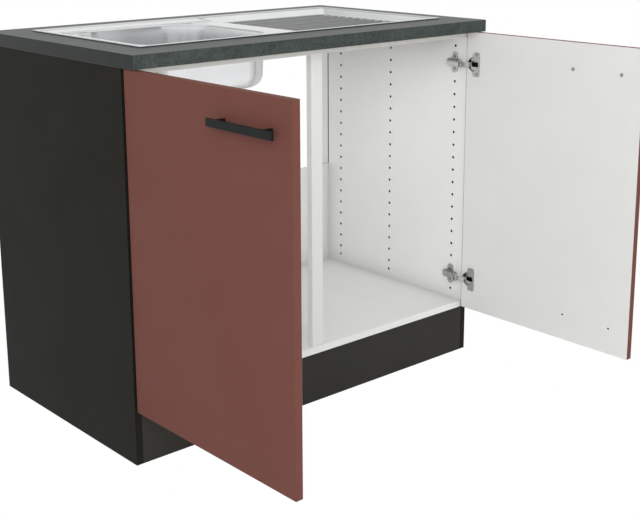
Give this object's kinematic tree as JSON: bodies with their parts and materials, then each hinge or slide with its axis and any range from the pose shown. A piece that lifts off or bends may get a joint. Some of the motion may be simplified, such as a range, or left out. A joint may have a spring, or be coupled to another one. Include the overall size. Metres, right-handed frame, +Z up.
{
  "type": "kitchen sink base unit",
  "caption": "Floor-standing kitchen base unit with a worktop, an inset steel sink with drainer, a basket waste, and two doors with bar handles on concealed cup hinges.",
  "frame": {"origin": "on the floor, at the middle of the unit's width and of the plinth board's thickness", "axes": "+X to the right seen from the front, +Y back to the wall, +Z up; the doors are drawn open at a right angle"},
  "size_m": [1.0362, 1.0557, 0.8513],
  "materials": {
    "white_board": "white melamine-faced chipboard, satin",
    "graphite_board": "graphite melamine-faced chipboard outside, white inside, satin",
    "stone_laminate": "chipboard worktop in mottled dark stone laminate, satin",
    "clay_board": "clay red melamine-faced chipboard outside, white inside, satin",
    "sink_steel": "polished and satin stainless steel sheet",
    "hinge_nickel": "nickel-plated pressed steel",
    "handle_black": "black powder coat, satin",
    "seal_rubber": "dark rubber",
    "waste_plastic": "dark moulded plastic"
  },
  "bodies": {
    "carcass": {"side_panel_right": "graphite_board", "side_panel_left": "graphite_board", "plinth_board": "graphite_board", "bottom_shelf": "white_board", "back_panel": "white_board", "front_rail": "white_board", "rear_rail": "white_board", "centre_post": "white_board", "worktop": "stone_laminate", "sink": "sink_steel", "sink_seal": "seal_rubber", "sink_clamp_left_front": "sink_steel", "sink_clamp_left_rear": "sink_steel", "sink_clamp_right_front": "sink_steel", "sink_clamp_right_rear": "sink_steel", "sink_clamp_rear_left": "sink_steel", "sink_clamp_rear_right": "sink_steel", "waste_flange": "sink_steel", "waste_seal": "seal_rubber", "waste_body": "waste_plastic", "hinge_plate_right_lower": "hinge_nickel", "hinge_plate_right_upper": "hinge_nickel", "hinge_plate_left_lower": "hinge_nickel", "hinge_plate_left_upper": "hinge_nickel", "hinge_arm_right_lower": "hinge_nickel", "hinge_arm_right_upper": "hinge_nickel", "hinge_arm_left_lower": "hinge_nickel", "hinge_arm_left_upper": "hinge_nickel"},
    "right_door": {"door_right": "clay_board", "handle_right": "handle_black", "handle_screw_right_front": "hinge_nickel", "handle_screw_right_rear": "hinge_nickel", "hinge_cup_right_lower": "hinge_nickel", "hinge_cup_right_upper": "hinge_nickel"},
    "left_door": {"door_left": "clay_board", "handle_left": "handle_black", "handle_screw_left_front": "hinge_nickel", "handle_screw_left_rear": "hinge_nickel", "hinge_cup_left_lower": "hinge_nickel", "hinge_cup_left_upper": "hinge_nickel"},
    "right_hinge_links": {"hinge_link_right_lower": "hinge_nickel", "hinge_link_right_upper": "hinge_nickel"},
    "left_hinge_links": {"hinge_link_left_lower": "hinge_nickel", "hinge_link_left_upper": "hinge_nickel"},
    "basket": {"strainer_basket": "sink_steel"}
  },
  "joints": [
    {"name": "right_door_hinge", "type": "hinge", "parent": "carcass", "child": "right_door", "pos_m": [0.4894, -0.0208, 0.468], "axis": [0, 0, 1], "range_deg": [-90, 15]},
    {"name": "left_door_hinge", "type": "hinge", "parent": "carcass", "child": "left_door", "pos_m": [-0.4894, -0.0208, 0.468], "axis": [0, 0, -1], "range_deg": [-90, 15]},
    {"name": "right_link_pivot", "type": "hinge", "parent": "carcass", "child": "right_hinge_links", "pos_m": [0.463, -0.0062, 0.468], "axis": [0, 0, 1], "range_deg": [-4.7, 28.1]},
    {"name": "left_link_pivot", "type": "hinge", "parent": "carcass", "child": "left_hinge_links", "pos_m": [-0.463, -0.0062, 0.468], "axis": [0, 0, -1], "range_deg": [-4.7, 28.1]},
    {"name": "basket_lift", "type": "slide", "parent": "carcass", "child": "basket", "axis": [0, 0, 1], "range_m": [0, 0.03]}
  ],
  "couplings": [
    {"joint": "right_link_pivot", "follows": "right_door_hinge", "ratio": -0.3111},
    {"joint": "left_link_pivot", "follows": "left_door_hinge", "ratio": -0.3111}
  ]
}
